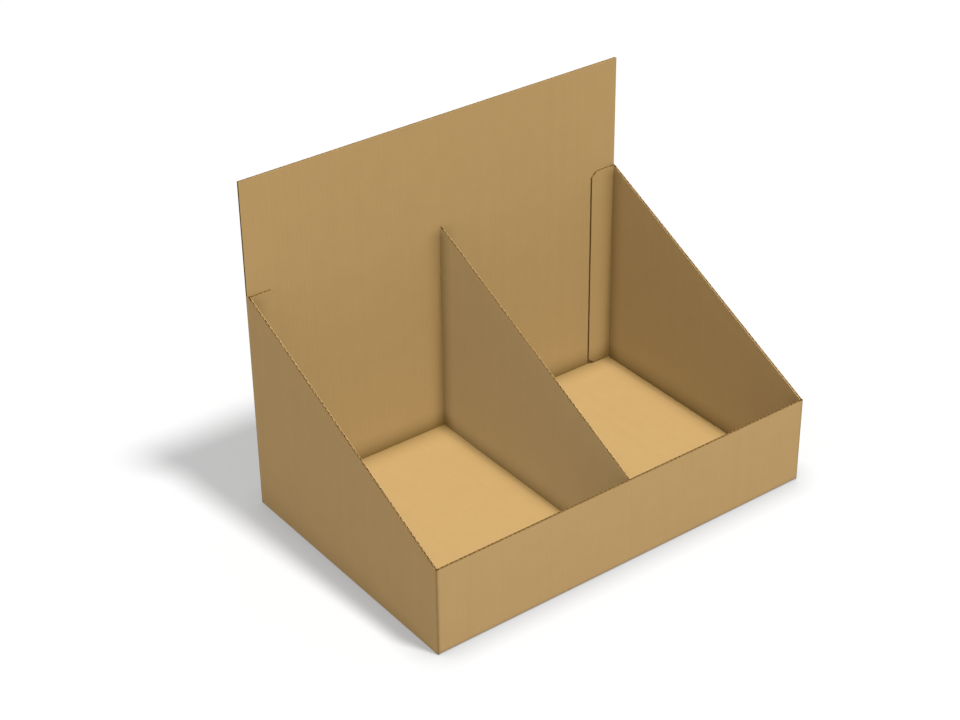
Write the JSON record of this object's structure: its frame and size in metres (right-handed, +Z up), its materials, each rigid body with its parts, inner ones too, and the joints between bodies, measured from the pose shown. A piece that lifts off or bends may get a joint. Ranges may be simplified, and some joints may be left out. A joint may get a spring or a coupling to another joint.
{
  "type": "cardboard display stand",
  "caption": "Open counter display stand of kraft corrugated board with sloped sides, a low front lip, a tall header at the back and a sloped divider that makes compartments.",
  "frame": {"origin": "middle of the footprint, on the surface that the stand rests on", "axes": "+X to the right across the width, +Y towards the back panel and header, +Z up; the open front faces -Y"},
  "size_m": [0.3, 0.2, 0.24],
  "materials": {
    "kraft_board": "matte uncoated brown kraft"
  },
  "bodies": {
    "root": {"display_tray": "kraft_board", "divider": "kraft_board"}
  },
  "joints": []
}
